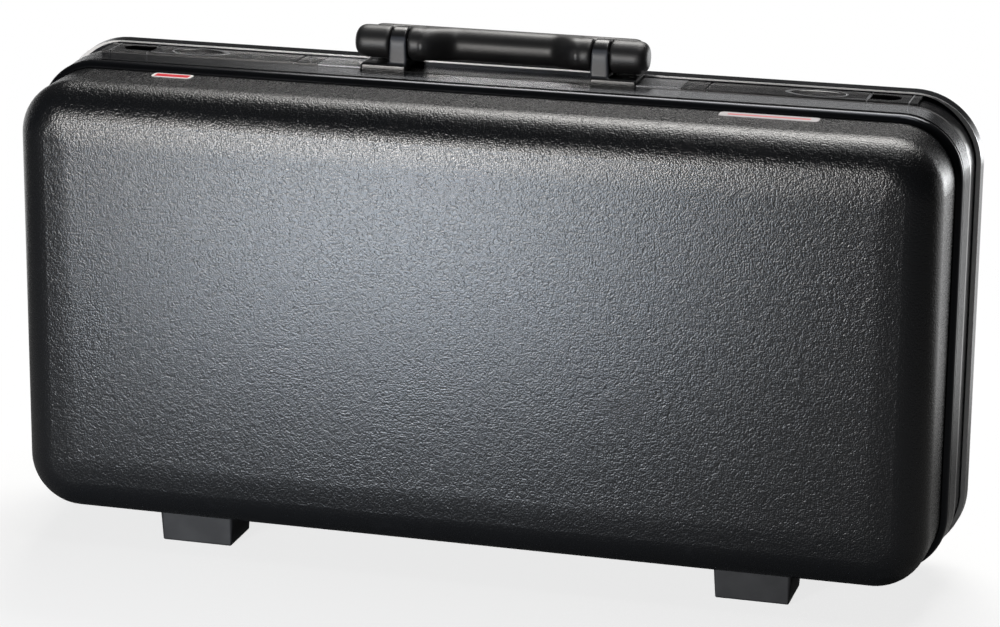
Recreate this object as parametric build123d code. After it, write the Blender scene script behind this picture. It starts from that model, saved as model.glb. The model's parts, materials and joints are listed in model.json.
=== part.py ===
from build123d import *
import os
from math import radians, sin, tan

os.makedirs("parts", exist_ok=True)

# Case envelope. X runs along the case, +Y points to the lid, +Z is up.
case_length = 690.0
case_height = 342.0
base_depth = 123.0
lid_depth = 47.0
ground_gap = 14.0

# Frame rails. Insets are measured inwards from the frame's crest.
frame_corner = 50.0
frame_wall = 2.0
parting_inset = 0.6
parting_gap = 0.2
rear_wall = 1.5
channel_width = 28.0
channel_depth = 4.6
channel_lip_inset = 3.6
band_end = 50.0
band_end_inset = 5.0
bead_groove = 1.2
bead_crest = 54.0
bead_crest_inset = 4.8
base_frame_depth = 60.0
lid_crest = 9.4
lid_frame_depth = 14.0
shell_grip = 14.0
lid_shell_grip = 6.0
grip_leg = 1.8
seat_play = 0.1

# Shells
shell_wall = 2.6
shell_inset = 9.4
shell_draft = 1.45
edge_radius = 24.0

# Linings
lining_gap = 0.4
lining_play = 0.4
insert_top = 5.0
pad_face = 16.0

# Instrument recess in the insert, and its two pockets
recess_half_length = 318.0
bell_radius = 50.0
throat_radius = 38.0
tip_radius = 26.0
bell_end = 128.0
recess_axis_depth = 52.0
recess_rise = 78.0
pocket_depth = 72.0
pocket_height = 104.0
pocket_drop = 84.0
pocket_margin = 20.0
pocket_wall = 18.0
pocket_corner = 14.0

# Seal
seal_width = 3.0
seal_groove = 2.6
seal_inset = 3.0
seal_proud = 0.3

# Feet
foot_centre = 209.0
foot_width = 57.0
foot_length = 44.0
foot_front = 95.0
lid_foot_length = 26.0
lid_foot_start = 17.0
foot_draft = 4.0
foot_round = 3.0
foot_screw_spread = 30.0
foot_bore_depth = 8.0
foot_bore_radius = 5.0

# Rivets
rivet_radius = 2.0
rivet_head_radius = 4.0
rivet_head = 1.6
rivet_tail_radius = 3.4
rivet_tail = 1.2
small_rivet_radius = 1.5
small_rivet_head = 1.0

# Hinges
hinge_centre = 120.0
hinge_width = 64.0
hinge_offset = 3.4
knuckle_radius = 3.2
hinge_pin_radius = 1.5
running_fit = 0.05
knuckle_gap = 0.4
leaf_thickness = 2.2
leaf_setback = 4.0
lid_leaf_length = 11.0
leaf_riser = 2.2

# Handle
post_inner = 68.5
post_width = 12.5
post_half_depth = 12.0
barrel_clearance = 1.9
handle_half = 108.5
barrel_radius = 12.0
barrel_round = 7.0
grip_radius = 12.0
grip_back = 15.0
grip_drop = 1.7
cheek_width = 10.0
handle_play = 0.4
handle_pin_radius = 3.0
handle_pin_reach = 16.0
bracket_end = 102.0
bracket_rise = 0.5
bracket_round = 2.0
bracket_screw_radius = 2.0
bracket_screw_head = 3.6
bracket_screw_head_height = 2.2
bracket_screw_depth = 5.0

# Locks, in the channel between the handle and the corner
cover_length = 32.0
fitting_inset = 2.4
fitting_play = 0.3
lock_past_corner = 7.0
lock_inner_block = 16.4
lock_end_block = 13.0
lock_wall = 1.3
lock_floor = 0.9
lock_depth = 8.0
lock_ledge = 2.0
finger_length = 22.5
finger_width = 16.0
lever_thickness = 2.0
lever_knuckle = 1.9
lever_pin_radius = 0.9
lever_lip = 4.0
plug_from_end = 36.0
plug_radius = 5.0
plug_sink = 0.9
plug_floor_gap = 0.6
key_slot_length = 7.0
key_slot_width = 1.2
key_slot_depth = 2.4
dish_length = 35.0
dish_width = 19.0
dish_depth = 1.2
crank_arm = 7.0
crank_thickness = 2.0
crank_width = 8.0
bolt_slot = 7.6
bolt_thickness = 2.2
bolt_width = 14.0
bolt_ear = 2.2
bolt_nose = 6.0
bolt_stop = 0.5
striker_width = 14.0
striker_thickness = 1.8
striker_reach = 9.0
striker_tang = 5.0
window_play = 0.4
lock_case_wall = 1.0

# Small plates on the shell's top side
plate_thickness = 0.4
tag_centre = -231.5
tag_length = 30.0
tag_width = 11.0
strip_centre = 206.0
strip_length = 70.0
strip_width = 11.5
plate_setback = 3.5

# Places that follow from the sizes above
part_y = (base_depth - lid_depth) / 2
draft_slope = tan(radians(shell_draft))
rail_inner = shell_inset + shell_wall + seat_play + shell_grip * draft_slope + grip_leg
lining_inset = rail_inner + lining_play
leaf_length = channel_width - leaf_setback
pivot_height = barrel_radius + barrel_clearance + bracket_rise
base_shell_start = base_frame_depth - shell_grip + seat_play
lid_shell_start = lid_frame_depth - lid_shell_grip + seat_play
crest_top = ground_gap + case_height
ring_z = ground_gap + case_height / 2
half_length = case_length / 2
half_height = case_height / 2
channel_front = rear_wall + channel_width
channel_mid = part_y - rear_wall - channel_width / 2
channel_floor = crest_top - channel_depth
pivot_z = crest_top + pivot_height
fitting_width = channel_width - 2 * fitting_play
cover_start = bracket_end + fitting_play
lock_start = cover_start + cover_length + fitting_play
lock_end = half_length - frame_corner + lock_past_corner
lever_start = lock_start + lock_inner_block + fitting_play
lever_end = lock_end - lock_end_block - finger_length
lever_width = fitting_width - 2 * (lock_wall + fitting_play)
tub_width = fitting_width - 2 * lock_ledge
tub_start = lever_start - fitting_play - lock_wall
tub_end = lock_end - lock_end_block + lock_wall
lever_pin_x = lever_start + lever_knuckle
lever_pin_inset = fitting_inset + lever_knuckle
plug_x = lever_end - plug_from_end
bolt_top = lock_depth + window_play
bolt_start = lever_pin_x - bolt_slot / 2 - bolt_ear
striker_x = bolt_start - bolt_nose - bolt_stop - striker_width / 2
lock_case_start = striker_x - striker_width / 2 - window_play - lock_case_wall
lock_case_end = lever_pin_x + bolt_slot + bolt_ear + crank_arm
hinge_z = ground_gap - hinge_offset


def span(x, y, z):
    """A box between two values on each axis."""
    size = [max(p) - min(p) for p in (x, y, z)]
    middle = [(max(p) + min(p)) / 2 for p in (x, y, z)]
    return Pos(*middle) * Box(*size)


def rod(start, end, radius):
    """A round bar from one point to another along an axis."""
    axis = Vector(*end) - Vector(*start)
    return extrude(Plane(origin=start, z_dir=axis) * Circle(radius), axis.length)


def channel_span(x, y, inset):
    """A box on the case's top side: y counts forward from the parting line."""
    return span(x, [part_y - v for v in y], [crest_top - v for v in inset])


def outline(inset, y):
    """The case's front view, inset from the frame's crest, at a depth from the parting line."""
    plane = Plane(origin=(0, part_y + y, ring_z), x_dir=(1, 0, 0), z_dir=(0, -1, 0))
    size = (case_length - 2 * inset, case_height - 2 * inset)
    return plane * RectangleRounded(*size, frame_corner - inset)


def swept_ring(section):
    """Runs a section, drawn at the middle of the top rail, round the whole frame."""
    points = [(0, half_height), (half_length, half_height), (half_length, -half_height), (0, -half_height)]
    plane = Plane(origin=(0, part_y, ring_z), x_dir=(1, 0, 0), z_dir=(0, -1, 0))
    path = plane * FilletPolyline(*points, radius=frame_corner)
    half = sweep(section, path=path)
    return half + mirror(half, about=Plane.YZ)


def section_points(pairs):
    return [(part_y + y, crest_top - inset) for y, inset in pairs]


def mirrored(shape):
    return mirror(shape, about=Plane.YZ)


def base_rail():
    """The wide aluminium rail with its outer channel, ribbed band and bead."""
    shell_out = shell_inset - seat_play
    shell_in = shell_inset + shell_wall + seat_play + shell_grip * draft_slope
    leg = shell_in + grip_leg
    grip_top = shell_grip - base_frame_depth
    roof = channel_lip_inset + frame_wall
    rim = section_points([
        (-base_frame_depth, shell_out), (grip_top, shell_out), (grip_top, shell_in),
        (frame_wall - base_frame_depth, shell_in), (frame_wall - base_frame_depth, leg),
        (grip_top + frame_wall, leg), (grip_top + frame_wall, band_end_inset + frame_wall),
        (-channel_front - frame_wall, roof), (-channel_front - frame_wall, channel_depth + frame_wall),
        (-2 * rear_wall, channel_depth + frame_wall), (-2 * rear_wall, rail_inner), (0, rail_inner),
        (0, parting_inset), (-rear_wall, parting_inset), (-rear_wall, channel_depth),
        (-channel_front, channel_depth), (-channel_front, channel_lip_inset),
        (-band_end, band_end_inset), (-band_end, band_end_inset + bead_groove),
        (-band_end - 1, band_end_inset + bead_groove),
    ])
    crown = section_points([
        (-band_end - 1, band_end_inset + bead_groove), (-bead_crest, bead_crest_inset),
        (-base_frame_depth, shell_out),
    ])
    edges = Polyline(*rim) + ThreePointArc(*crown)
    return swept_ring(make_face(Plane.YZ * edges))


def lid_rail():
    """The narrow rail of the lid, with the seal's groove in its closing face."""
    shell_out = shell_inset - seat_play
    shell_in = shell_inset + shell_wall + seat_play + lid_shell_grip * draft_slope
    grip_top = lid_frame_depth - lid_shell_grip
    leg = shell_in + grip_leg
    crown_radius = lid_frame_depth - lid_crest
    seal_end = seal_inset + seal_width
    start = parting_gap
    rim = section_points([
        (lid_frame_depth, crown_radius), (lid_frame_depth, shell_out), (grip_top, shell_out),
        (grip_top, shell_in), (lid_frame_depth - 1, shell_in), (lid_frame_depth - 1, leg),
        (start, leg), (start, seal_end), (start + seal_groove, seal_end),
        (start + seal_groove, seal_inset), (start, seal_inset), (start, parting_inset), (lid_crest, 0),
    ])
    halfway = crown_radius * sin(radians(45))
    crown_middle = (lid_crest + halfway, crown_radius - halfway)
    crown = section_points([(lid_crest, 0), crown_middle, (lid_frame_depth, crown_radius)])
    edges = Polyline(*rim) + ThreePointArc(*crown)
    return swept_ring(make_face(Plane.YZ * edges))


def seal():
    side = seal_inset + seat_play
    low = seal_inset + seal_width - seat_play
    depth = (seal_proud, parting_gap + seal_groove)
    corners = section_points([(depth[0], side), (depth[1], side), (depth[1], low), (depth[0], low)])
    return swept_ring(make_face(Plane.YZ * Polyline(*corners, close=True)))


def drafted(inset, start, depth, radius, way):
    """A drafted block with one large rounded edge; way is -1 to the front and +1 to the back."""
    plane = Plane(origin=(0, part_y + way * start, ring_z), x_dir=(1, 0, 0), z_dir=(0, way, 0))
    face = plane * RectangleRounded(case_length - 2 * inset, case_height - 2 * inset, frame_corner - inset)
    block = extrude(face, depth - start, taper=shell_draft)
    far = block.edges().group_by(Axis.Y)[0 if way < 0 else -1]
    return fillet(far, radius)


def shell_outer(depth, start, way):
    return drafted(shell_inset, start, depth, edge_radius, way)


def shell(depth, start, way):
    """One moulded shell: its open rim starts inside the rail's grip."""
    inner_inset = shell_inset + shell_wall
    inner = drafted(inner_inset, start, depth - shell_wall, edge_radius - shell_wall, way)
    return shell_outer(depth, start, way) - inner


def recess():
    """A cradle for a straight conical instrument: a cone, opened straight up to the insert's face."""
    stations = [(-recess_half_length, bell_radius), (bell_end - recess_half_length, throat_radius),
                (recess_half_length, tip_radius)]
    axis_y = part_y - recess_axis_depth
    axis_z = ring_z + recess_rise
    top = part_y - insert_top + 1
    cut = None
    for (x0, r0), (x1, r1) in zip(stations, stations[1:]):
        rounds = [Plane(origin=(x, axis_y, axis_z), z_dir=(1, 0, 0)) * Circle(r) for x, r in ((x0, r0), (x1, r1))]
        slots = []
        for x, r in ((x0, r0), (x1, r1)):
            plane = Plane(origin=(x, (axis_y + top) / 2, axis_z), x_dir=(0, 1, 0), z_dir=(1, 0, 0))
            slots.append(plane * Rectangle(top - axis_y, 2 * r))
        part = loft(rounds, ruled=True) + loft(slots, ruled=True)
        cut = part if cut is None else cut + part
    return cut


def pocket(x0, x1):
    plane = Plane(origin=((x0 + x1) / 2, part_y, ring_z - pocket_drop), x_dir=(1, 0, 0), z_dir=(0, -1, 0))
    face = plane * RectangleRounded(x1 - x0, pocket_height, pocket_corner)
    return extrude(face, pocket_depth)


def insert():
    """The foam block of the base, with the instrument's recess and two pockets."""
    depth = base_depth - shell_wall - lining_gap
    radius = edge_radius - shell_wall - lining_gap
    block = extrude(outline(lining_inset, -insert_top), depth - insert_top)
    block = fillet(block.edges().group_by(Axis.Y)[0], radius)
    edge = half_length - lining_inset - pocket_margin
    block -= recess()
    block -= pocket(pocket_wall / 2, edge)
    return block - pocket(-edge, -pocket_wall / 2)


def pad():
    """The lid's padded lining."""
    depth = lid_depth - shell_wall - lining_gap
    radius = edge_radius - shell_wall - lining_gap
    block = extrude(outline(lining_inset, depth), depth - pad_face)
    return fillet(block.edges().group_by(Axis.Y)[-1], radius)


def foot(x, y_front, length, body):
    """A moulded foot whose top follows the shell above it."""
    top = ground_gap + shell_inset + shell_wall
    middle = part_y - y_front + length / 2
    plane = Plane(origin=(x, middle, top), x_dir=(1, 0, 0), z_dir=(0, 0, -1))
    block = extrude(plane * RectangleRounded(foot_width, length, foot_round), top, taper=foot_draft)
    block = fillet(block.faces().sort_by(Axis.Z)[0].edges(), foot_round / 2)
    block -= body
    for side in (-1, 1):
        at = (x + side * foot_screw_spread / 2, middle)
        block -= rod((*at, -1), (*at, foot_bore_depth), foot_bore_radius)
        block -= rod((*at, 0), (*at, top), rivet_radius)
    return block


def foot_rivets(y_front, length):
    """Blind rivets up through the feet and the shell."""
    middle = part_y - y_front + length / 2
    depth = y_front - length / 2
    start = base_shell_start if depth > 0 else lid_shell_start
    inner = shell_inset + shell_wall + (abs(depth) - start) * draft_slope
    top = ground_gap + inner + 0.2
    group = []
    for centre in (-foot_centre, foot_centre):
        for side in (-1, 1):
            at = (centre + side * foot_screw_spread / 2, middle)
            rivet = rod((*at, foot_bore_depth), (*at, top), rivet_radius)
            rivet += rod((*at, foot_bore_depth - rivet_head), (*at, foot_bore_depth), rivet_head_radius)
            rivet += rod((*at, top), (*at, top + rivet_tail), rivet_tail_radius)
            group.append(rivet)
    return group


def knuckles(x, mine):
    """Five alternate knuckles on the hinge axis: mine picks the base's three or the lid's two."""
    pitch = hinge_width / 5
    left = x - hinge_width / 2
    group = None
    for i in range(5):
        if (i % 2 == 0) == mine:
            x0 = left + i * pitch + knuckle_gap / 2
            x1 = left + (i + 1) * pitch - knuckle_gap / 2
            ring = rod((x0, part_y, hinge_z), (x1, part_y, hinge_z), knuckle_radius)
            group = ring if group is None else group + ring
    return group


def base_leaf(x):
    """Base hinge leaf: a plate in the bottom channel, a riser over its wall and three knuckles."""
    floor_z = ground_gap + channel_depth
    low = floor_z - leaf_thickness
    y0 = part_y - rear_wall - fitting_play
    wide = (x - hinge_width / 2, x + hinge_width / 2)
    leaf = span(wide, (y0 - leaf_length, y0), (low, floor_z))
    pitch = hinge_width / 5
    for i in (0, 2, 4):
        x0 = wide[0] + i * pitch + knuckle_gap / 2
        x1 = wide[0] + (i + 1) * pitch - knuckle_gap / 2
        leaf += span((x0, x1), (y0 - leaf_riser, y0), (hinge_z - knuckle_radius, floor_z))
        leaf += span((x0, x1), (y0 - leaf_riser, part_y), (hinge_z - knuckle_radius, hinge_z))
    leaf += knuckles(x, True)
    return leaf - rod((wide[0] - 1, part_y, hinge_z), (wide[1] + 1, part_y, hinge_z), hinge_pin_radius)


def lid_leaf(x):
    """Lid hinge leaf: a plate on the lid rail's crest and two knuckles."""
    high = ground_gap - seat_play
    wide = (x - hinge_width / 2, x + hinge_width / 2)
    leaf = span(wide, (part_y + knuckle_radius + 0.5, part_y + lid_leaf_length), (high - leaf_thickness, high))
    pitch = hinge_width / 5
    for i in (1, 3):
        x0 = wide[0] + i * pitch + knuckle_gap / 2
        x1 = wide[0] + (i + 1) * pitch - knuckle_gap / 2
        leaf += span((x0, x1), (part_y, part_y + knuckle_radius + 1), (high - leaf_thickness, high))
    leaf += knuckles(x, False)
    bore = hinge_pin_radius + running_fit
    return leaf - rod((wide[0] - 1, part_y, hinge_z), (wide[1] + 1, part_y, hinge_z), bore)


def hinge_pin(x):
    half = hinge_width / 2 - knuckle_gap / 2
    return rod((x - half, part_y, hinge_z), (x + half, part_y, hinge_z), hinge_pin_radius)


def leaf_rivet_spots(x):
    return [x + i * hinge_width / 3 for i in (-1, 0, 1)]


def base_leaf_rivets():
    floor_z = ground_gap + channel_depth
    y = part_y - rear_wall - fitting_play - leaf_length / 2
    low = floor_z - leaf_thickness
    group = []
    for centre in (-hinge_centre, hinge_centre):
        for x in leaf_rivet_spots(centre):
            rivet = rod((x, y, low), (x, y, floor_z + frame_wall), small_rivet_radius)
            rivet += rod((x, y, low - small_rivet_head), (x, y, low), 2 * small_rivet_radius)
            top = floor_z + frame_wall
            rivet += rod((x, y, top), (x, y, top + small_rivet_head), 2 * small_rivet_radius)
            group.append(rivet)
    return group


def lid_leaf_rivets():
    y = part_y + (knuckle_radius + 0.5 + lid_leaf_length) / 2
    low = ground_gap - seat_play - leaf_thickness
    group = []
    for centre in (-hinge_centre, hinge_centre):
        for x in leaf_rivet_spots(centre):
            rivet = rod((x, y, low), (x, y, ground_gap + frame_wall), small_rivet_radius)
            rivet += rod((x, y, low - small_rivet_head), (x, y, low), 2 * small_rivet_radius)
            group.append(rivet)
    return group


def shanks(group):
    """The clearance solids that a group of rivets or screws needs."""
    joined = group[0]
    for rivet in group[1:]:
        joined += rivet
    return joined


def bracket():
    """Right handle bracket: a base plate in the channel and a round-topped post."""
    top = crest_top + bracket_rise
    y0, y1 = channel_mid - fitting_width / 2, channel_mid + fitting_width / 2
    plate = span((post_inner, bracket_end), (y0, y1), (channel_floor, top))
    plate = fillet(plate.edges().filter_by(Axis.X).group_by(Axis.Z)[-1], bracket_round / 2)
    outer = post_inner + post_width
    post_y = (channel_mid - post_half_depth, channel_mid + post_half_depth)
    post = span((post_inner, outer), post_y, (top - 1, pivot_z))
    post += rod((post_inner, channel_mid, pivot_z), (outer, channel_mid, pivot_z), post_half_depth)
    bore = rod((post_inner - 1, channel_mid, pivot_z), (outer + 1, channel_mid, pivot_z), handle_pin_radius)
    return plate + post - bore


def bracket_screw_spots():
    x0 = post_inner + post_width / 2
    x1 = bracket_end - post_width / 2
    return [(x, channel_mid) for x in (x0, x1)]


def bracket_screws(head=bracket_screw_head, radius=bracket_screw_radius):
    low = channel_floor - frame_wall
    group = []
    for x, y in bracket_screw_spots():
        screw = rod((x, y, low), (x, y, channel_floor + bracket_screw_depth), radius)
        screw += rod((x, y, low - bracket_screw_head_height), (x, y, low), head)
        group.append(screw)
    return group


def handle():
    """The moulded handle: end barrels on the posts, and a grip set back behind them."""
    grip_y = channel_mid + grip_back
    grip_z = pivot_z - grip_drop
    barrel = rod((-handle_half, channel_mid, pivot_z), (handle_half, channel_mid, pivot_z), barrel_radius)
    barrel = fillet(barrel.edges().filter_by(GeomType.CIRCLE), barrel_round)
    reach = handle_half - barrel_round
    grip = rod((-reach, grip_y, grip_z), (reach, grip_y, grip_z), grip_radius)
    grip = fillet(grip.edges().filter_by(GeomType.CIRCLE), barrel_round)
    web = span((-reach, reach), (channel_mid, grip_y), (grip_z - grip_radius / 2, pivot_z + barrel_radius / 2))
    body = barrel + grip + web
    cheek = post_inner - handle_play - cheek_width
    front = channel_mid - barrel_radius - 1
    body -= span((-cheek, cheek), (front, grip_y - grip_radius), (pivot_z - 20, pivot_z + 20))
    body -= span((-cheek, cheek), (front, grip_y), (pivot_z - 20, pivot_z + 20)) - rod(
        (-cheek, grip_y, grip_z), (cheek, grip_y, grip_z), grip_radius)
    slot_back = channel_mid + post_half_depth + handle_play
    for side in (-1, 1):
        x0 = side * (post_inner - handle_play)
        x1 = side * (post_inner + post_width + handle_play)
        body -= span((x0, x1), (front, slot_back), (pivot_z - 20, pivot_z + 20))
        pin = handle_pin_ends(handle_play / 2)
        body -= rod((side * pin[0], channel_mid, pivot_z), (side * pin[1], channel_mid, pivot_z),
                    handle_pin_radius + running_fit)
    return body


def handle_pin_ends(extra=0.0):
    return (post_inner - cheek_width + 1 - extra, post_inner + post_width + handle_pin_reach + extra)


def handle_pin():
    x0, x1 = handle_pin_ends()
    return rod((x0, channel_mid, pivot_z), (x1, channel_mid, pivot_z), handle_pin_radius)


def cover():
    y = (rear_wall + fitting_play, channel_front - fitting_play)
    plate = channel_span((cover_start, cover_start + cover_length), y, (fitting_inset, channel_depth))
    return fillet(plate.edges().filter_by(Axis.X).group_by(Axis.Z)[-1], 0.5)


def lock_tub(play=0.0):
    """The outline of the lock's tub, which hangs through a window in the rail's floor."""
    mid = rear_wall + channel_width / 2
    half = tub_width / 2 + play
    x = (tub_start - play, tub_end + play)
    return channel_span(x, (mid - half, mid + half), (channel_depth - 1, lock_depth + play))


def lock_housing():
    """The lock's body: a rim in the channel, and a tub below it with windows and a finger well."""
    y = (rear_wall + fitting_play, channel_front - fitting_play)
    floor_inset = lock_depth - lock_floor
    body = channel_span((lock_start, lock_end), y, (fitting_inset, channel_depth))
    well = (y[0] + lock_wall, y[1] - lock_wall)
    lever_room = (lever_start - fitting_play, lever_end + fitting_play)
    body -= channel_span(lever_room, well, (0, channel_depth + 1))
    mid = rear_wall + channel_width / 2
    inner = tub_width / 2 - lock_wall
    body += lock_tub() - channel_span((tub_start, tub_end), y, (0, channel_depth))
    body -= channel_span(lever_room, (mid - inner, mid + inner), (0, floor_inset))
    end = lock_end - lock_end_block - finger_width / 2
    body -= channel_span((lever_end, end), (mid - finger_width / 2, mid + finger_width / 2), (0, floor_inset))
    low = crest_top - floor_inset
    body -= rod((end, channel_mid, low), (end, channel_mid, crest_top), finger_width / 2)
    body -= crank_window(mid)
    z = crest_top - lever_pin_inset
    return body - rod((lever_pin_x, part_y, z), (lever_pin_x, part_y - channel_front, z), lever_pin_radius)


def crank_window(mid):
    """The opening under the lever's crank, through the housing and the rail."""
    x = (bolt_start - window_play, lever_pin_x + bolt_slot / 2 + bolt_ear + crank_arm)
    half = bolt_width / 2 + window_play
    return channel_span(x, (mid - half, mid + half), (lock_depth - 2 * lock_floor, lock_depth + 1))


def lever():
    """The latch lever: a plate on a cross pin, with a crank below and a dish round the key plug."""
    mid = rear_wall + channel_width / 2
    y = (mid - lever_width / 2, mid + lever_width / 2)
    body = channel_span((lever_pin_x, lever_end), y, (fitting_inset, fitting_inset + lever_thickness))
    z = crest_top - lever_pin_inset
    inner = tub_width / 2 - lock_wall - fitting_play
    body += rod((lever_pin_x, channel_mid - inner, z), (lever_pin_x, channel_mid + inner, z), lever_knuckle)
    crank = (mid - crank_width / 2, mid + crank_width / 2)
    half = crank_thickness / 2
    crank_x = (lever_pin_x - half, lever_pin_x + half)
    body += channel_span(crank_x, crank, (lever_pin_inset, lever_pin_inset + crank_arm))
    dish = Pos(plug_x, channel_mid, crest_top - fitting_inset) * scale(
        Sphere(1), by=(dish_length / 2, dish_width / 2, dish_depth))
    body -= dish
    body -= rod((plug_x, channel_mid, crest_top - 20), (plug_x, channel_mid, crest_top), plug_radius + running_fit)
    tip = Pos(lever_end, channel_mid, crest_top - fitting_inset)
    body -= tip * Rot(0, 40, 0) * Box(lever_lip, 40, lever_lip / 2)
    return body - rod(*[(lever_pin_x, part_y - v, z) for v in (0, channel_front)], lever_pin_radius + running_fit)


def lever_pin():
    z = crest_top - lever_pin_inset
    half = tub_width / 2
    return rod((lever_pin_x, channel_mid - half, z), (lever_pin_x, channel_mid + half, z), lever_pin_radius)


def key_plug():
    top = crest_top - fitting_inset - plug_sink
    low = crest_top - lock_depth + lock_floor + plug_floor_gap
    plug = rod((plug_x, channel_mid, low), (plug_x, channel_mid, top), plug_radius)
    half_length_slot, half_width_slot = key_slot_length / 2, key_slot_width / 2
    slot = span((plug_x - half_length_slot, plug_x + half_length_slot),
                (channel_mid - half_width_slot, channel_mid + half_width_slot), (top - key_slot_depth, top + 1))
    return plug - slot


def draw_bolt():
    """The sliding bolt under the rail: a plate with a nose, and two ears round the lever's crank."""
    mid = rear_wall + channel_width / 2
    y = (mid - bolt_width / 2, mid + bolt_width / 2)
    end = lever_pin_x + bolt_slot / 2 + bolt_ear
    body = channel_span((bolt_start, end), y, (bolt_top, bolt_top + bolt_thickness))
    body -= channel_span((bolt_start + bolt_ear, end - bolt_ear), (mid - crank_width, mid + crank_width),
                         (0, bolt_top + bolt_thickness + 1))
    sides = ((y[0], y[0] + 2), (y[1] - 2, y[1]))
    for side in sides:
        body += channel_span((bolt_start, end), side, (bolt_top, bolt_top + bolt_thickness))
    ear = (lock_depth - lock_floor, bolt_top)
    for x in ((bolt_start, bolt_start + bolt_ear), (end - bolt_ear, end)):
        body += channel_span(x, (mid - crank_width / 2, mid + crank_width / 2), ear)
        body += channel_span(x, y, (bolt_top, bolt_top + bolt_thickness))
    nose = (rear_wall + 3 * lock_case_wall, mid)
    body += channel_span((bolt_start - bolt_nose, bolt_start), nose, (bolt_top, bolt_top + bolt_thickness))
    return body


def lock_case():
    """The tray under the rail that guides the bolt; its rear wall is slotted for the striker."""
    mid = rear_wall + channel_width / 2
    low = rail_inner - seat_play
    y = (2 * rear_wall + fitting_play, channel_front - fitting_play)
    x = (lock_case_start, lock_case_end)
    top = channel_depth + frame_wall
    wall = lock_case_wall
    body = channel_span(x, y, (top, low))
    body -= channel_span((x[0] + wall, x[1] - wall), (y[0] + wall, y[1] - wall), (0, low - wall))
    return body - striker_window((0, mid)) - lock_tub(window_play)


def striker_window(y):
    x = (striker_x - striker_width / 2 - window_play, striker_x + striker_width / 2 + window_play)
    inset = (bolt_top - window_play, bolt_top + striker_thickness + 2 * window_play)
    return channel_span(x, y, inset)


def striker():
    """The lid's striker: a tongue through the rail's rear wall, with a window for the bolt's nose."""
    x = (striker_x - striker_width / 2, striker_x + striker_width / 2)
    inset = (bolt_top, bolt_top + striker_thickness)
    tongue = channel_span(x, (-striker_tang, striker_reach), inset)
    hole_x = (striker_x - 2, striker_x + striker_width / 4)
    hole = channel_span(hole_x, (striker_reach - 4.5, striker_reach - 1.5), (0, 40))
    return tongue - hole


def shell_plate(x0, x1, width, setback):
    """A thin plate lying on the drafted top side of the base shell."""
    y_back = base_frame_depth + setback
    inset = shell_inset + (y_back - base_shell_start) * draft_slope
    plane = Plane(origin=((x0 + x1) / 2, part_y - y_back, crest_top - inset), x_dir=(1, 0, 0),
                  z_dir=(0, -draft_slope, 1))
    face = plane * Pos(0, -width / 2) * RectangleRounded(x1 - x0, width, width / 4)
    return extrude(face, plate_thickness)


def build_base(parts):
    outer = shell_outer(base_depth, base_shell_start, -1)
    rail = base_rail()
    envelope = outer + rail
    cuts = lock_tub(window_play / 2) + striker_window((0, 3 * rear_wall))
    cuts += shanks(bracket_screws(bracket_screw_head, bracket_screw_radius + seat_play))
    rail -= cuts
    rail -= mirrored(cuts)
    rivets = foot_rivets(foot_front, foot_length)
    leaf_rivets = base_leaf_rivets()
    parts["base_frame"] = rail - shanks(leaf_rivets)
    parts["base_shell"] = shell(base_depth, base_shell_start, -1) - shanks(rivets)
    parts["base_insert"] = insert()
    parts["base_foot_rivets"] = rivets
    parts["base_hinge_rivets"] = leaf_rivets
    for side, x in (("left", -1), ("right", 1)):
        parts[f"base_foot_{side}"] = foot(x * foot_centre, foot_front, foot_length, envelope)
        parts[f"base_hinge_leaf_{side}"] = base_leaf(x * hinge_centre) - shanks(leaf_rivets)
        parts[f"hinge_pin_{side}"] = hinge_pin(x * hinge_centre)
    half = tag_length / 2
    parts["blank_badge"] = shell_plate(tag_centre - half, tag_centre + half, tag_width, plate_setback)
    half = strip_length / 2
    parts["label_strip"] = shell_plate(strip_centre - half, strip_centre + half, strip_width, plate_setback)


def build_lid(parts):
    outer = shell_outer(lid_depth, lid_shell_start, 1)
    foot_y = -lid_foot_start
    rivets = foot_rivets(foot_y, lid_foot_length)
    leaf_rivets = lid_leaf_rivets()
    rail = lid_rail() - shanks(leaf_rivets)
    tongue = striker()
    parts["lid_frame"] = rail - tongue - mirrored(tongue)
    parts["lid_shell"] = shell(lid_depth, lid_shell_start, 1) - shanks(rivets)
    parts["lid_pad"] = pad()
    parts["lid_seal"] = seal()
    parts["lid_foot_rivets"] = rivets
    parts["lid_hinge_rivets"] = leaf_rivets
    parts["striker_right"] = tongue
    parts["striker_left"] = mirrored(tongue)
    for side, x in (("left", -1), ("right", 1)):
        parts[f"lid_foot_{side}"] = foot(x * foot_centre, foot_y, lid_foot_length, outer)
        parts[f"lid_hinge_leaf_{side}"] = lid_leaf(x * hinge_centre) - shanks(leaf_rivets)


def build_channel_parts(parts):
    screws = bracket_screws()
    right = {
        "handle_bracket": bracket() - shanks(screws),
        "handle_pin": handle_pin(),
        "cover_plate": cover(),
        "lock_housing": lock_housing(),
        "lock_case": lock_case(),
        "lever": lever(),
        "lever_pin": lever_pin(),
        "key_plug": key_plug(),
        "draw_bolt": draw_bolt(),
    }
    for name, shape in right.items():
        parts[f"{name}_right"] = shape
        parts[f"{name}_left"] = mirrored(shape)
    parts["handle_grip"] = handle()
    parts["bracket_screws"] = screws + [mirrored(screw) for screw in screws]


def main():
    parts = {}
    build_base(parts)
    build_lid(parts)
    build_channel_parts(parts)
    for name, shape in parts.items():
        solids = shape if isinstance(shape, list) else [shape]
        solids = [solid for item in solids for solid in item.solids()]
        export_step(solids[0] if len(solids) == 1 else Compound(children=solids), f"parts/{name}.step")
        print(name, len(solids), round(sum(solid.volume for solid in solids)))


main()
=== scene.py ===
import json
import math

import bmesh
import bpy
from mathutils import Matrix, Vector, noise


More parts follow.
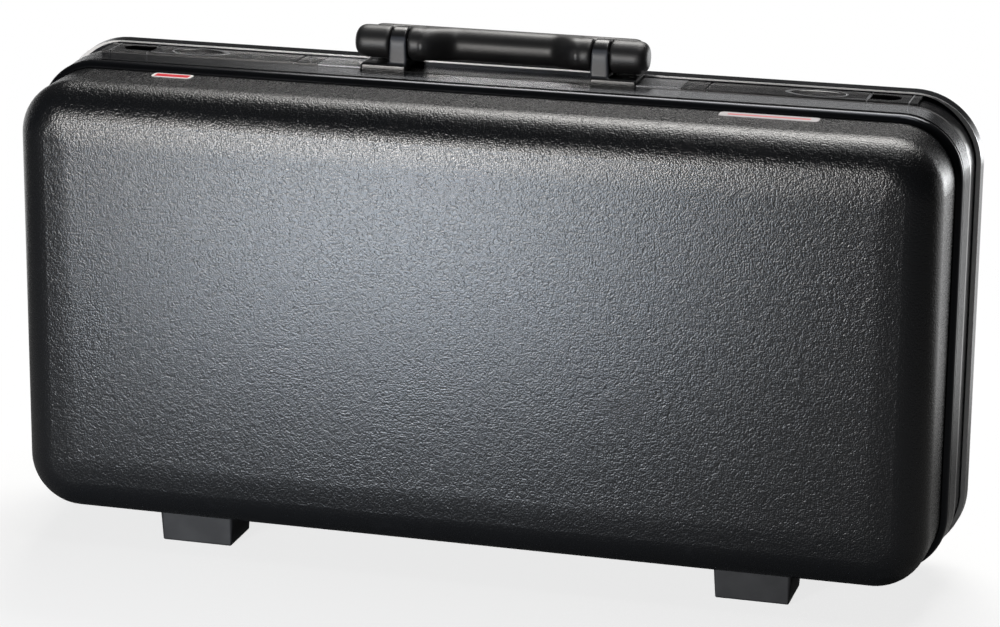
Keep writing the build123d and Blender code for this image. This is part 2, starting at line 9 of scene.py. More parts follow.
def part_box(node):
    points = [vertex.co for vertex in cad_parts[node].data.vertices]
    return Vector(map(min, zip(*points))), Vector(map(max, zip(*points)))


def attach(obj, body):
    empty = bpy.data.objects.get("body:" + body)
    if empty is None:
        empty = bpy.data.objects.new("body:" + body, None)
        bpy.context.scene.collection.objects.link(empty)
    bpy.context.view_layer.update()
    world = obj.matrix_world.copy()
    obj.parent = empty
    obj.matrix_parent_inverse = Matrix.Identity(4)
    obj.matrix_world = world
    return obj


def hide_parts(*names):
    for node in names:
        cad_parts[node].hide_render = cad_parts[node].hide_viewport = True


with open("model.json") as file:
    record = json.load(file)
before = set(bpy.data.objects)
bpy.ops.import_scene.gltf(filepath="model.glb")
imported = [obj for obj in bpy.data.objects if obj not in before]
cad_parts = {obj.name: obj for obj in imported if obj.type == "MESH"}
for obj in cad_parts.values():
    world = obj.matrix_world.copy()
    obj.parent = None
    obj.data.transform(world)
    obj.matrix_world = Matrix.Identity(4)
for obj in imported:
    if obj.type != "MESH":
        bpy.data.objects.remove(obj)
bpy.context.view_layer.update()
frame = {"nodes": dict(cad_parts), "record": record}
scene = bpy.context.scene
scene.view_settings.view_transform = "Standard"
print("frame loaded")


class Wire:  # a socket of a node tree, so that sums on it read as sums
    def __init__(self, tree, socket=None):
        self.tree = tree
        self.socket = socket

    def node(self, kind, settings=None, values=None, out=0):
        made = self.tree.nodes.new(kind)
        for key, value in (settings or {}).items():
            setattr(made, key, value)
        for key, value in (values or {}).items():
            if isinstance(value, Wire):
                self.tree.links.new(value.socket, made.inputs[key])
            else:
                made.inputs[key].default_value = value
        return Wire(self.tree, made.outputs[out])

    def sum(self, operation, *others):  # this value first, then the others
        return self.node("ShaderNodeMath", {"operation": operation}, dict(enumerate((self, *others))))

    def __add__(self, other):
        return self.sum("ADD", other)

    __radd__ = __add__

    def __mul__(self, other):
        return self.sum("MULTIPLY", other)

    __rmul__ = __mul__

    def __sub__(self, other):
        return self.sum("SUBTRACT", other)

    def __rsub__(self, other):
        return self.node("ShaderNodeMath", {"operation": "SUBTRACT"}, {0: other, 1: self})

    def __truediv__(self, other):
        return self.sum("DIVIDE", other)

    def rise(self, low, high, bottom=0.0, top=1.0):  # a smooth step from low to high
        return self.node("ShaderNodeMapRange", {"interpolation_type": "SMOOTHSTEP"},
                         {"Value": self, "From Min": low, "From Max": high, "To Min": bottom, "To Max": top})

    def within(self, low, high, soft):  # 1 between low and high, with soft ends
        return self.rise(low - soft, low + soft) * self.rise(high - soft, high + soft, 1.0, 0.0)

    def shade(self, dark, light):  # a colour between two, by this value
        first, second = (end if isinstance(end, Wire) else (*end, 1) for end in (dark, light))
        return self.node("ShaderNodeMix", {"data_type": "RGBA"}, {"Factor": self, 6: first, 7: second}, out=2)

    def noise(self, place, scale, detail=2.0, rough=0.5, twist=0.0):
        return self.node("ShaderNodeTexNoise", {"noise_dimensions": "3D"},
                         {"Vector": place, "Scale": scale, "Detail": detail, "Roughness": rough, "Distortion": twist})

    def bump(self, height, distance, strength=1.0, onto=None):
        values = {"Height": height, "Distance": distance, "Strength": strength}
        if onto is not None:
            values["Normal"] = onto
        return self.node("ShaderNodeBump", None, values)


partY, ringZ = 0.038, 0.185  # the parting plane, and the height of the case's middle
glassiness = 1.5  # index of refraction of every coat
objectSpace, generatedSpace = 3, 0  # outputs of the texture coordinate node


def newMaterial(name, fixed):
    material = bpy.data.materials.new(name)
    material.use_nodes = True
    shader = material.node_tree.nodes["Principled BSDF"]
    for key, value in fixed.items():
        shader.inputs[key].default_value = value
    return material, Wire(material.node_tree), shader


def plug(shader, **links):
    for key, value in links.items():
        value.tree.links.new(value.socket, shader.inputs[key.replace("_", " ")])


def coat(piece, material):
    piece.data.materials.clear()
    piece.data.materials.append(material)


def places(start, space=objectSpace):  # coordinates, whole and by axis
    place = start.node("ShaderNodeTexCoord", out=space)
    apart = place.node("ShaderNodeSeparateXYZ", None, {0: place})
    outputs = apart.socket.node.outputs
    return place, *(Wire(start.tree, outputs[axis]) for axis in range(3))


def rayKinds(start, *kinds):  # 1 for the rays of each kind
    outputs = start.node("ShaderNodeLightPath").socket.node.outputs
    return [Wire(start.tree, outputs["Is " + kind + " Ray"]) for kind in kinds]


def grainAndCloud(place, grainScale, cloudScale):  # fine noise and slow noise
    return place.noise(place, grainScale), place.noise(place, cloudScale, 4.0, 0.6)


def insetFrom(x, z, half, corner):  # how far inside a rounded outline a point lies
    outX = x.sum("ABSOLUTE") - (half[0] - corner)
    outZ = (z - ringZ).sum("ABSOLUTE") - (half[1] - corner)
    overX, overZ = outX.sum("MAXIMUM", 0.0), outZ.sum("MAXIMUM", 0.0)
    beyond = overX * overX + overZ * overZ
    inside = outX.sum("MAXIMUM", outZ).sum("MINIMUM", 0.0)
    return corner - beyond.sum("SQRT") - inside


# shell
shellLook = {
    "colour": (0.005, 0.0054, 0.0062), "rubbed": (0.007, 0.0075, 0.0085), "rub": (60.0, 3.0, 0.65),
    "rubRange": (0.56, 0.75), "roughness": 0.23, "patch": (9.0, 3.0), "patchRough": 0.05,
    "grooveRange": (0.42, 0.7), "grooveRough": 0.05, "stripGroove": 0.25,
    "pebble": 760.0, "pebbleSpread": 0.75, "pebbleHeight": 0.00015, "bendScale": 300.0, "bend": 0.0016,
    "stripDepth": (0.0612, 0.0645), "stripGrain": 0.3, "topGrain": 0.9, "topRange": (0.318, 0.332),
    "half": (0.334, 0.160), "corner": 0.039, "crown": (0.005, 0.044), "crownHeight": 0.0019,
}


def shellMaterial():
    look = shellLook
    material, start, shader = newMaterial("grained shell", {"IOR": glassiness})
    place, x, y, z = places(start)
    inset = insetFrom(x, z, look["half"], look["corner"])
    crown = place.bump(inset.rise(*look["crown"]), look["crownHeight"])  # the flat faces curve near their edges
    bend = place.node("ShaderNodeTexNoise", None, {"Vector": place, "Scale": look["bendScale"], "Detail": 0.0}, out=1)
    bent = place.node("ShaderNodeVectorMath", {"operation": "MULTIPLY_ADD"},
                      {0: bend, 1: (look["bend"],) * 3, 2: place})
    pebble = place.node("ShaderNodeTexVoronoi", None,
                        {"Vector": bent, "Scale": look["pebble"], "Randomness": look["pebbleSpread"]})
    even = (y - partY).sum("ABSOLUTE").rise(*look["stripDepth"])  # the strip beside the rail has less grain
    share = look["stripGrain"] + (1.0 - look["stripGrain"]) * even
    height = (1.0 - pebble * pebble) * share * (1.0 + look["topGrain"] * z.rise(*look["topRange"]))
    normal = place.bump(height, look["pebbleHeight"], 1.0, crown)
    patch = place.noise(place, *look["patch"])
    groove = pebble.rise(*look["grooveRange"]) * (look["stripGroove"] + (1.0 - look["stripGroove"]) * even)
    rough = look["roughness"] + (patch - 0.5) * look["patchRough"] + groove * look["grooveRough"]
    rubbed = place.noise(place, *look["rub"]).rise(*look["rubRange"])
    plug(shader, Base_Color=rubbed.shade(look["colour"], look["rubbed"]), Roughness=rough, Normal=normal)
    return material


# rails; distances run forward from the parting plane
railLook = {
    "colour": (0.015, 0.0165, 0.02), "channelShade": (0.012, 0.0125, 0.014), "bareAndHighlight": (0.86, 0.86, 0.87),
    "metal": 0.75, "metalLoss": 0.5, "roughness": 0.2, "streak": (3.0, 900.0, 3.0), "lines": (1.0, 3.0, 0.6),
    "lineRough": 0.16, "lineHeight": 0.25, "cloud": (14.0, 3.0), "cloudRough": 0.1,
    "ribPitch": 0.0011, "ribHeight": 0.5, "height": 0.00012, "ribBand": (0.0325, 0.0492), "bandSoft": 0.0002,
    "channel": (0.0035, 0.0315), "channelSoft": 0.0004,
    "rearWall": 0.0015, "rearHalf": 0.0004, "rearSoft": 0.0001, "rearFade": 0.0004, "frontLip": 0.0295,
    "lipWidth": 0.002, "lipShare": 0.3, "half": (0.345, 0.171), "corner": 0.05, "lineTop": 0.0019, "lineSide": 0.004,
    "turn": (0.3, 0.335),
}


def railMaterial():
    look = railLook
    material, start, shader = newMaterial("black anodised rail", {"IOR": glassiness})
    place, x, y, z = places(start)
    streak = place.node("ShaderNodeVectorMath", {"operation": "MULTIPLY"}, {0: place, 1: look["streak"]})
    lines = place.noise(streak, *look["lines"])
    ribs = (y * (2 * math.pi / look["ribPitch"])).sum("SINE")
    nearEdge, farEdge = look["ribBand"]
    band = y.within(partY - farEdge, partY - nearEdge, look["bandSoft"])
    normal = place.bump(ribs * band * look["ribHeight"] + lines * look["lineHeight"], look["height"])
    cloud = place.noise(place, *look["cloud"])
    rough = look["roughness"] + (lines - 0.5) * look["lineRough"] + (cloud - 0.5) * look["cloudRough"]
    nearEdge, farEdge = look["channel"]
    channel = y.within(partY - farEdge, partY - nearEdge, look["channelSoft"])
    # painted shade: the channel floor is coloured darker than the rest of the rail
    tone = channel.shade(look["colour"], look["channelShade"])
    wallY, lipY = partY - look["rearWall"], partY - look["frontLip"]
    inset = insetFrom(x, z, look["half"], look["corner"])
    reach = x.sum("ABSOLUTE").rise(*look["turn"], look["lineTop"], look["lineSide"])
    rear = y.within(wallY - look["rearHalf"], wallY + look["rearHalf"], look["rearSoft"])
    rear = rear * (reach - inset).rise(0.0, look["rearFade"])  # the channel's rear wall is bare metal at its rim, painted bright there as a highlight
    # painted highlight: a fainter bright line along the channel's front lip
    lip = y.within(lipY - look["lipWidth"], lipY, look["bandSoft"]) * look["lipShare"]
    bareAndHighlight = rear.sum("MAXIMUM", lip)
    plug(shader, Base_Color=bareAndHighlight.shade(tone, look["bareAndHighlight"]), Metallic=look["metal"] - look["metalLoss"] * bareAndHighlight,
         Roughness=rough, Normal=normal)
    return material


# plain finishes
finishes = {
    "handlePlastic": {"colour": (0.006, 0.006, 0.0065), "light": (0.009, 0.009, 0.0095), "rough": 0.44,
                      "cloudRough": 0.14, "grain": 1500.0, "height": 0.00005, "Metallic": 0.0},
    "footPlastic": {"colour": (0.014, 0.014, 0.015), "light": (0.022, 0.022, 0.023), "rough": 0.5,
                    "cloudRough": 0.14, "grain": 1300.0, "height": 0.00006, "Metallic": 0.0},
    "sealRubber": {"colour": (0.014, 0.014, 0.014), "light": (0.02, 0.02, 0.02), "rough": 0.6,
                   "cloudRough": 0.14, "grain": 1200.0, "height": 0.00004, "Metallic": 0.0},
    "platedSteel": {"colour": (0.52, 0.52, 0.54), "light": (0.62, 0.62, 0.62), "rough": 0.28,
                    "cloudRough": 0.14, "grain": 700.0, "height": 0.00002, "Metallic": 1.0},
    "coverMetal": {"colour": (0.1, 0.103, 0.11), "light": (0.115, 0.118, 0.125), "rough": 0.28,
                   "cloudRough": 0.03, "grain": 1800.0, "height": 0.00002, "Metallic": 0.5},
    "keyMetal": {"colour": (0.07, 0.07, 0.075), "light": (0.12, 0.12, 0.125), "rough": 0.25,
                 "cloudRough": 0.14, "grain": 900.0, "height": 0.00002, "Metallic": 1.0},
}
finishLook = {"cloud": 45.0, "cloudRange": (0.35, 0.7), "grainRough": 0.1}


def plainMaterial(name):
    look = finishes[name]
    material, start, shader = newMaterial(name, {"Metallic": look["Metallic"], "IOR": glassiness})
    place = places(start)[0]
    grain, cloud = grainAndCloud(place, look["grain"], finishLook["cloud"])
    tone = cloud.rise(*finishLook["cloudRange"]).shade(look["colour"], look["light"])
    rough = look["rough"] + (cloud - 0.5) * look["cloudRough"] + (grain - 0.5) * finishLook["grainRough"]
    plug(shader, Base_Color=tone, Roughness=rough, Normal=place.bump(grain, look["height"]))
    return material


# handle brackets: black castings whose front faces are coloured slate, lighter than the rest
bracketLook = {
    "colour": (0.007, 0.0072, 0.008), "slate": (0.034, 0.038, 0.047), "slateCloud": (0.85, 0.15),
    "roughness": 0.3, "frontRough": 0.15, "cloud": 45.0, "cloudRough": 0.14, "grain": 2400.0, "grainRough": 0.1,
    "height": 0.00003, "front": 0.0122, "frontSoft": 0.0006, "foot": 0.3568, "crown": 0.3785, "endSoft": 0.0009,
    "voxel": 0.0008, "rounds": 3, "middle": 0.07475, "start": 0.3585, "top": 0.383, "wide": 1.1, "narrow": 0.86,
}


def bracketMaterial():
    look = bracketLook
    material, start, shader = newMaterial("bracket casting", {"Metallic": 0.0, "IOR": glassiness})
    place, x, y, z = places(start)
    grain, cloud = grainAndCloud(place, look["grain"], look["cloud"])
    front = y.rise(look["front"] - look["frontSoft"], look["front"] + look["frontSoft"], 1.0, 0.0)
    front = front * z.within(look["foot"], look["crown"], look["endSoft"])
    plain, cloudy = look["slateCloud"]
    tone = (front * (plain + cloudy * cloud)).shade(look["colour"], look["slate"])
    rough = look["roughness"] + front * look["frontRough"] + (cloud - 0.5) * look["cloudRough"]
    rough = rough + (grain - 0.5) * look["grainRough"]
    plug(shader, Base_Color=tone, Roughness=rough, Normal=place.bump(grain, look["height"]))
    return material


# locks, with the creases moulded into their tops, painted shade in the creases and painted highlights along the rims;
# bands are low, high and softness
lockLook = {
    "colour": (0.006, 0.0062, 0.007), "edge": (0.016, 0.0165, 0.018), "edgeShare": 0.3,
    "paintedGlint": (0.16, 0.165, 0.175), "glintRough": 0.15, "crease": (0.002, 0.002, 0.002), "specular": 0.35,
    "rough": 0.22, "cloud": 40.0, "cloudRange": (0.35, 0.75), "cloudRough": 0.12, "grain": 2100.0,
    "grainRough": 0.06, "creaseHeight": 10.0, "grainHeight": 0.3, "height": 0.0001,
    "mid": 0.0225, "plug": 0.2305, "leverEnd": 0.2662,
    "dish": (0.0185, 0.0105), "dishRim": (0.93, 1.04, 0.02), "dishShare": 0.8, "dishEdge": (0.98, 1.02),
    "inner": (0.5, 0.6, 0.02), "innerShare": 0.7, "eye": (0.0142, 0.0335, 0.0112), "eyeRim": (0.95, 1.04, 0.02),
    "eyeTop": (0.985, 1.0), "eyeHeight": 5.0, "glintDish": (1.05, 1.13, 0.02), "glintEye": (1.05, 1.14, 0.02),
    "glintEdge": (1.0, 1.04), "glintShare": 0.8, "glintTip": (0.0012, 0.0008),
    "cap": 0.2952, "line": 0.0004, "lineSoft": 0.00024, "glintCap": (0.0003, 0.0012), "glintHole": 0.0008,
    "glintSoft": 0.0003, "slant": 0.35, "joint": (0.1437, 0.1442, 0.0002),
}


def leverTop(along, across):  # the lever's creases, raised eye and the painted highlights along its rims and end
    look = lockLook

    def oval(middle, length, width):  # 1 on the rim of an oval
        first, second = (along - middle) / length, across / width
        return (first * first + second * second).sum("SQRT")

    dish = oval(look["plug"], *look["dish"])
    shift, length, width = look["eye"]
    eye = oval(look["plug"] + shift, length, width)
    rim = dish.within(*look["dishRim"]) * look["dishShare"] + dish.within(*look["inner"]) * look["innerShare"]
    lines = rim + eye.within(*look["eyeRim"]) * dish.rise(*look["dishEdge"])
    raised = eye.rise(*look["eyeTop"]) * look["eyeHeight"]
    paintedGlint = dish.within(*look["glintDish"]) + eye.within(*look["glintEye"]) * dish.rise(*look["glintEdge"])
    tip = along.rise(*(look["leverEnd"] - back for back in look["glintTip"]))
    return lines, raised, paintedGlint * look["glintShare"] + tip


def housingTop(along, across):  # the housing's cap line, slanted joint and the painted highlights along its edges; nothing is raised
    look = lockLook
    cap, line, end = look["cap"], look["line"], look["leverEnd"]
    slant = along - across * look["slant"]
    lines = along.within(cap - line, cap + line, look["lineSoft"]) + slant.within(*look["joint"])
    paintedGlint = along.within(*(cap + reach for reach in look["glintCap"]), look["glintSoft"])
    return lines, 0.0, paintedGlint + along.within(end, end + look["glintHole"], look["glintSoft"])


def lockMaterial(name, top):
    look = lockLook
    material, start, shader = newMaterial(name, {"IOR": glassiness, "Specular IOR Level": look["specular"]})
    place, x, y, z = places(start)
    lines, raised, paintedGlint = top(x.sum("ABSOLUTE"), y - look["mid"])
    sunk, bright = lines.sum("MINIMUM", 1.0), paintedGlint.sum("MINIMUM", 1.0)
    grain, cloud = grainAndCloud(place, look["grain"], look["cloud"])
    height = (1.0 - sunk) * look["creaseHeight"] + grain * look["grainHeight"] + raised
    tone = (cloud.rise(*look["cloudRange"]) * look["edgeShare"]).shade(look["colour"], look["edge"])
    # painted shade: the crease colour darkens the lever's creases, and it also marks the housing's cap and joint
    # lines as dark joints; painted highlight: the glint colour lightens the rims beside the creases and the edges at
    # the cap and the lever's end
    tone = sunk.shade(bright.shade(tone, look["paintedGlint"]), look["crease"])
    rough = look["rough"] + (cloud - 0.5) * look["cloudRough"] + (grain - 0.5) * look["grainRough"]
    plug(shader, Base_Color=tone, Roughness=rough + bright * look["glintRough"],
         Normal=place.bump(height, look["height"]))
    return material


# the red badge with a pale rim, and the silver strip with its red line
markLook = {
    "badge": {"middle": -0.2315, "halfLength": 0.0150, "halfWidth": 0.0055, "margin": 0.0022, "redHalf": 0.0037,
              "endSoft": 0.0002, "redShare": 1.0, "ground": (0.8, 0.79, 0.78), "rough": 0.35},
    "strip": {"middle": 0.206, "halfLength": 0.035, "halfWidth": 0.00575, "margin": 0.006, "redHalf": 0.0016,
              "endSoft": 0.0003, "redShare": 0.75, "ground": (0.47, 0.45, 0.46), "rough": 0.4},
    "red": (0.62, 0.02, 0.035), "setback": 0.0635, "soft": 0.0002, "specular": 0.25, "fleck": 900.0,
    "fleckRough": 0.15, "fleckHeight": 0.3, "redHeight": 2.0, "height": 0.00003,
}


def markMaterial(name, key):
    look, own = markLook, markLook[key]
    material, start, shader = newMaterial(name, {"Metallic": 0.0, "IOR": glassiness,
                                                 "Specular IOR Level": look["specular"]})
    place, x, y, z = places(start)
    across = y - (partY - look["setback"] - own["halfWidth"])
    fleck = place.noise(place, look["fleck"])
    reach = own["halfLength"] - own["margin"]
    red = x.within(own["middle"] - reach, own["middle"] + reach, own["endSoft"])
    red = red * across.within(-own["redHalf"], own["redHalf"], look["soft"]) * own["redShare"]
    rough = own["rough"] + (fleck - 0.5) * look["fleckRough"]
    height = red * look["redHeight"] + fleck * look["fleckHeight"]
    plug(shader, Base_Color=red.shade(own["ground"], look["red"]), Roughness=rough,
         Normal=place.bump(height, look["height"]))
    return material


materials = {
    "grained_shell": shellMaterial(), "satin_aluminium": railMaterial(),
    "lock_plastic": lockMaterial("black lock moulding", housingTop), "handle_plastic": plainMaterial("handlePlastic"),
    "foot_plastic": plainMaterial("footPlastic"), "bracket_metal": bracketMaterial(),
    "seal_rubber": plainMaterial("sealRubber"), "plated_steel": plainMaterial("platedSteel"),
    "key_metal": plainMaterial("keyMetal"), "badge": markMaterial("red badge", "badge"),
    "label": markMaterial("silver strip", "strip"), "lining": plainMaterial("sealRubber"),
}

for subpart in frame["record"]["subparts"]:
    coat(frame["nodes"][subpart["node"]], materials[subpart["material_slot"]])
leverMaterial, coverMaterial = lockMaterial("black lever moulding", leverTop), plainMaterial("coverMetal")
for side in ("left", "right"):
    coat(frame["nodes"]["lever_" + side], leverMaterial)
    coat(frame["nodes"]["cover_plate_" + side], coverMaterial)
print("materials set")


# linings
plushLook = {
    "colour": (0.03, 0.032, 0.045), "nap": (0.11, 0.115, 0.15), "strand": (1500.0, 2.0, 0.7),
    "brush": (16.0, 3.0, 0.6, 0.8), "brushRange": (0.42, 0.62), "brushShare": 0.14, "brushHeight": 0.2,
    "speck": (420.0, 1.0), "speckRange": (0.3, 0.75), "speckShare": 0.36, "height": 0.0009, "strength": 0.8,
    "shader": {"Roughness": 0.95, "Sheen Weight": 0.55, "Sheen Roughness": 0.35,
               "Sheen Tint": (0.5, 0.53, 0.62, 1), "Specular IOR Level": 0.15},
}


def plushMaterial():
    look = plushLook
    material, start, shader = newMaterial("dark plush", look["shader"])
    place = places(start)[0]
    nap = place.noise(place, *look["strand"])
    brushed = place.noise(place, *look["brush"]).rise(*look["brushRange"])
    speck = place.noise(place, *look["speck"]).rise(*look["speckRange"])
    tone = (brushed * look["brushShare"] + speck * look["speckShare"]).shade(look["colour"], look["nap"])
    normal = place.bump(nap + brushed * look["brushHeight"], look["height"], look["strength"])
    plug(shader, Base_Color=tone, Normal=normal)
    return material


def evaluated(piece, name):  # the piece with its modifiers, as a plain mesh
    depsgraph = bpy.context.evaluated_depsgraph_get()
    depsgraph.update()
    mesh = bpy.data.meshes.new_from_object(piece.evaluated_get(depsgraph))
    mesh.name = name
    return mesh


def evenOut(piece, voxel):  # remeshes a piece into even small faces
    even = piece.modifiers.new("even", "REMESH")
    even.mode = "VOXEL"
    even.voxel_size = voxel
    made = evaluated(piece, piece.name)
    piece.modifiers.clear()
    piece.data = made


weldReach = 0.000002


def softCopy(nodeName, name, voxel):  # a CAD block as an even mesh that can be shaped
    mesh = frame["nodes"][nodeName].data.copy()
    piece = bpy.data.objects.new(name, mesh)
    scene.collection.objects.link(piece)
    build = bmesh.new()
    build.from_mesh(mesh)
    bmesh.ops.remove_doubles(build, verts=build.verts, dist=weldReach)
    build.to_mesh(mesh)
    build.free()
    evenOut(piece, voxel)
    return piece


def relax(piece, rounds, factor=0.5):  # rounds the edges over
    build = bmesh.new()
    build.from_mesh(piece.data)
    for step in range(rounds):
        bmesh.ops.smooth_vert(build, verts=build.verts, factor=factor,
                              use_axis_x=True, use_axis_y=True, use_axis_z=True)
    build.to_mesh(piece.data)
    build.free()
    for face in piece.data.polygons:
        face.use_smooth = True


def pushed(piece, amount):  # moves each point along its normal by amount(point)
    normals = [vertex.normal.copy() for vertex in piece.data.vertices]
    for vertex, normal in zip(piece.data.vertices, normals):
        vertex.co += normal * amount(vertex.co)


insertLook = {
    "voxel": 0.0036, "rounds": 7, "wave": 0.0007, "slow": 38.0, "quick": 90.0, "quickShare": 0.5, "fill": 0.9,
}


def waviness(spot):  # cloth over foam is never quite even
    quick = noise.noise(spot * insertLook["quick"])
    return insertLook["wave"] * (noise.noise(spot * insertLook["slow"]) + insertLook["quickShare"] * quick)


def makeInsert():
    piece = softCopy("base_insert", "plush_insert", insertLook["voxel"])
    relax(piece, insertLook["rounds"])
    pushed(piece, waviness)
    coat(piece, plushMaterial())
    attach(piece, "base")
    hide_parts("base_insert")
    print("insert made", len(piece.data.polygons))


padLook = {
    "voxel": 0.005, "shrink": 0.0035, "pressure": 4.0, "reach": 0.009, "frames": 20, "channels": (-0.107, 0.107),
    "sink": 0.0045, "channelHalf": 0.006, "faceDepth": 0.012, "ease": 0.3, "fill": 0.7,
}


def makePad():
    piece = softCopy("lid_pad", "lid_cushion", padLook["voxel"])
    low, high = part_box("lid_pad")
    pushed(piece, lambda spot: -padLook["shrink"])
    start = [vertex.co.copy() for vertex in piece.data.vertices]
    cloth = piece.modifiers.new("swell", "CLOTH")
    cloth.settings.use_pressure = True
    cloth.settings.uniform_pressure_force = padLook["pressure"]
    cloth.settings.effector_weights.gravity = 0
    for moment in range(1, padLook["frames"] + 1):
        scene.frame_set(moment)
    swollen = evaluated(piece, "lid_cushion")
    piece.modifiers.clear()
    piece.data = swollen
    scene.frame_set(1)
    for vertex, first in zip(piece.data.vertices, start):
        move = vertex.co - first
        if move.length > padLook["reach"]:
            vertex.co = first + move.normalized() * padLook["reach"]
        vertex.co.y = min(vertex.co.y, high.y)
        vertex.co.x = max(low.x, min(high.x, vertex.co.x))
        vertex.co.z = max(low.z, min(high.z, vertex.co.z))
        face = max(0.0, min(1.0, (low.y + padLook["faceDepth"] - vertex.co.y) / padLook["faceDepth"]))
        for channel in padLook["channels"]:  # the sewn channels
            near = abs(vertex.co.x - channel) / padLook["channelHalf"]
            vertex.co.y += face * padLook["sink"] * math.exp(-near * near)
    finish = piece.modifiers.new("fine", "SUBSURF")
    finish.levels = finish.render_levels = 1
    relax(piece, 1, padLook["ease"])
    coat(piece, plushMaterial())
    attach(piece, "lid")
    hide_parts("lid_pad")
    print("pad made", len(piece.data.polygons))


makeInsert()
makePad()


# handle and its two brackets
handleLook = {
    "voxel": 0.0013, "rounds": 5, "pivot": (0.0225, 0.3704), "grip": (0.0375, 0.3687), "swell": (0.034, 0.0578),
    "gain": 1.08,
}


def makeHandle():
    piece = softCopy("handle_grip", "moulded_handle", handleLook["voxel"])
    inner, outer = handleLook["swell"]
    gripY, gripZ = handleLook["grip"]
    pivotY, pivotZ = handleLook["pivot"]
    for vertex in piece.data.vertices:  # the grip swells forward into its cheeks
        share = (abs(vertex.co.x) - inner) / (outer - inner)
        if 0.0 < share < 1.0 and vertex.co.y < gripY:
            share = min(1.0, share * handleLook["gain"])
            share = share * share * (3 - 2 * share)
            vertex.co.y += share * (pivotY - gripY)
            vertex.co.z += share * (pivotZ - gripZ)
    evenOut(piece, handleLook["voxel"])
    relax(piece, handleLook["rounds"])
    coat(piece, materials["handle_plastic"])
    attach(piece, "handle")
    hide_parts("handle_grip")
    print("handle made", len(piece.data.polygons))


def makeBracket(side, sign):
    look = bracketLook
    name = "handle_bracket_" + side
    piece = softCopy(name, "cast_" + name, look["voxel"])
    middle = sign * look["middle"]
    for vertex in piece.data.vertices:  # the post narrows towards its top
        if vertex.co.z > look["start"]:
            rise = min(1.0, (vertex.co.z - look["start"]) / (look["top"] - look["start"]))
            scale = look["wide"] + (look["narrow"] - look["wide"]) * rise
            vertex.co.x = middle + (vertex.co.x - middle) * scale
    relax(piece, look["rounds"])
    coat(piece, materials["bracket_metal"])
    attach(piece, "base")
    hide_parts(name)


makeHandle()
makeBracket("left", -1)
makeBracket("right", 1)
print("brackets made")


# floor, lights and camera
white = (1.0, 1.0, 1.0)
floorLook = {
    "size": 9.0, "seen": (0.9, 0.9, 0.9), "unseen": (0.175, 0.175, 0.175), "roughness": 0.9, "specular": 0.2,
    "shadow": 0.22, "shadowReach": (0.5, 1.0), "lidPlace": (0.09, 0.2), "lidShare": 0.25, "behind": (0.25, 0.6),
    "lidLight": (0.05, 0.07),
}
worldLook = {
    "front": (0.03, 0.03, 0.03), "back": (0.06, 0.06, 0.06), "turn": (-0.05, 0.55), "behind": (0.1, 0.5),
    "low": (0.05, 0.15),
}
lamps = [
    {"name": "low front panel", "at": (-0.28, -0.82, 0.07), "size": (0.46, 0.14), "watts": 3.6,
     "aim": (-0.28, 0.0, 0.07), "colour": (0.84, 0.95, 1.09)},
    {"name": "front left box", "at": (-0.78, -2.33, 0.33), "size": (0.38, 0.48), "watts": 38.0,
     "aim": (0.0, -0.05, 0.2), "colour": (1.0, 0.97, 0.94)},
    {"name": "rear top box", "at": (0.03, 1.08, 1.92), "size": (1.6, 0.95), "watts": 52.0,
     "aim": (0.0, 0.0, 0.2), "colour": (1.0, 0.98, 0.95)},
    {"name": "overhead box", "at": (0.2, 0.1, 2.6), "size": (1.6, 0.6), "watts": 14.0,
     "aim": (0.0, 0.0, 0.2), "colour": white},
    {"name": "rear low panel", "at": (0.95, 1.7, 0.12), "size": (0.9, 0.3), "watts": 3.5,
     "aim": (0.0, 0.085, 0.15), "colour": (0.97, 0.99, 1.0)},
]


def makeFloor():
    look = floorLook
    mesh = bpy.data.meshes.new("floor")
    build = bmesh.new()
    bmesh.ops.create_grid(build, x_segments=1, y_segments=1, size=look["size"])
    build.to_mesh(mesh)
    build.free()
    floor = bpy.data.objects.new("floor", mesh)
    scene.collection.objects.link(floor)
    material, start, shader = newMaterial("pale floor", {"Roughness": look["roughness"],
                                                         "Specular IOR Level": look["specular"]})
    place, x, y, z = places(start)
    camera, glossy, through, shadow = rayKinds(start, "Camera", "Glossy", "Transmission", "Shadow")
    plug(shader, Base_Color=camera.shade(look["unseen"], look["seen"]))
    far = (x * x + y * y).sum("SQRT")
    near = far.rise(*look["shadowReach"], 1.0, 0.0)  # the shadow fades into pure white
    near = near * y.rise(*look["lidPlace"], 1.0, look["lidShare"])
    clear = camera * (1 - look["shadow"] * near) + (glossy + through) * y.rise(*look["behind"])
    clear = clear + shadow * y.rise(*look["lidLight"])  # light reaches the lid where it hangs open below the floor
    glass = start.node("ShaderNodeBsdfTransparent")  # the white world shows through
    mix = start.node("ShaderNodeMixShader", None,
                     {0: clear.sum("MINIMUM", 1.0), 1: Wire(start.tree, shader.outputs[0]), 2: glass})
    start.tree.links.new(mix.socket, start.tree.nodes["Material Output"].inputs["Surface"])
    floor.data.materials.append(material)


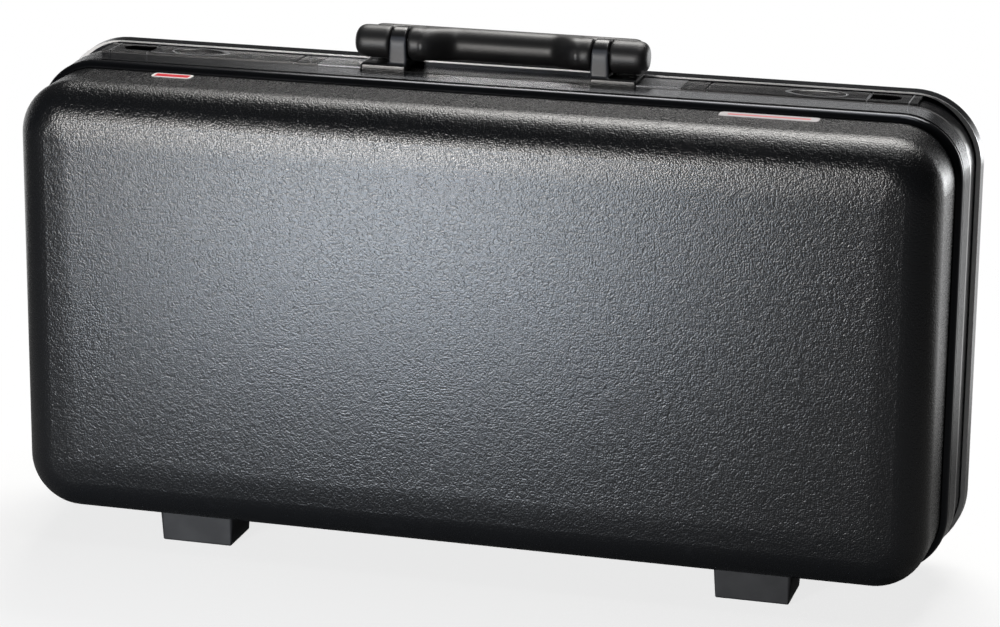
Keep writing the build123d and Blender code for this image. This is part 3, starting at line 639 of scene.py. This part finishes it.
def makeWorld():  # white to the camera, and in mirrors low behind the case; a dim room elsewhere
    look = worldLook
    world = bpy.data.worlds.new("studio")
    world.use_nodes = True
    scene.world = world
    start = Wire(world.node_tree)
    camera, glossy, through = rayKinds(start, "Camera", "Glossy", "Transmission")
    way, up = places(start, generatedSpace)[2:]
    backdrop = way.rise(*look["behind"]) * up.rise(*look["low"], 1.0, 0.0)
    bright = (glossy.sum("MAXIMUM", through) * backdrop).sum("MAXIMUM", camera)
    room = way.rise(*look["turn"]).shade(look["front"], look["back"])
    shade = bright.shade(room, white)
    start.tree.links.new(shade.socket, start.tree.nodes["Background"].inputs["Color"])


def makeLamp(look):
    data = bpy.data.lights.new(look["name"], "AREA")
    data.shape = "RECTANGLE"
    data.size, data.size_y = look["size"]
    data.energy = look["watts"]
    data.color = look["colour"]
    lamp = bpy.data.objects.new(look["name"], data)
    scene.collection.objects.link(lamp)
    lamp.location = look["at"]
    way = Vector(look["aim"]) - Vector(look["at"])
    lamp.rotation_euler = way.to_track_quat("-Z", "Y").to_euler()
    lamp.visible_camera = False


cameraLook = {
    "turn": 15.416, "rise": 15.881, "roll": 0.563, "distance": 2.515571, "target": (-0.003849, 0.038, 0.168834),
    "lens": 122.908, "sensor": 36.0,
}


def makeCamera():
    turn, rise, roll = (math.radians(cameraLook[key]) for key in ("turn", "rise", "roll"))
    back = Vector((math.sin(turn) * math.cos(rise), -math.cos(turn) * math.cos(rise), math.sin(rise)))
    right = Vector((math.cos(turn), math.sin(turn), 0.0))
    up = back.cross(right)
    data = bpy.data.cameras.new("camera")
    data.sensor_width = cameraLook["sensor"]
    data.lens = cameraLook["lens"]
    camera = bpy.data.objects.new("camera", data)
    scene.collection.objects.link(camera)
    side = right * math.cos(roll) + up * math.sin(roll)
    top = up * math.cos(roll) - right * math.sin(roll)
    spot = Vector(cameraLook["target"]) + back * cameraLook["distance"]
    camera.matrix_world = Matrix.Translation(spot) @ Matrix((side, top, back)).transposed().to_4x4()
    scene.camera = camera


makeFloor()
makeWorld()
for look in lamps:
    makeLamp(look)
makeCamera()
print("stage set")
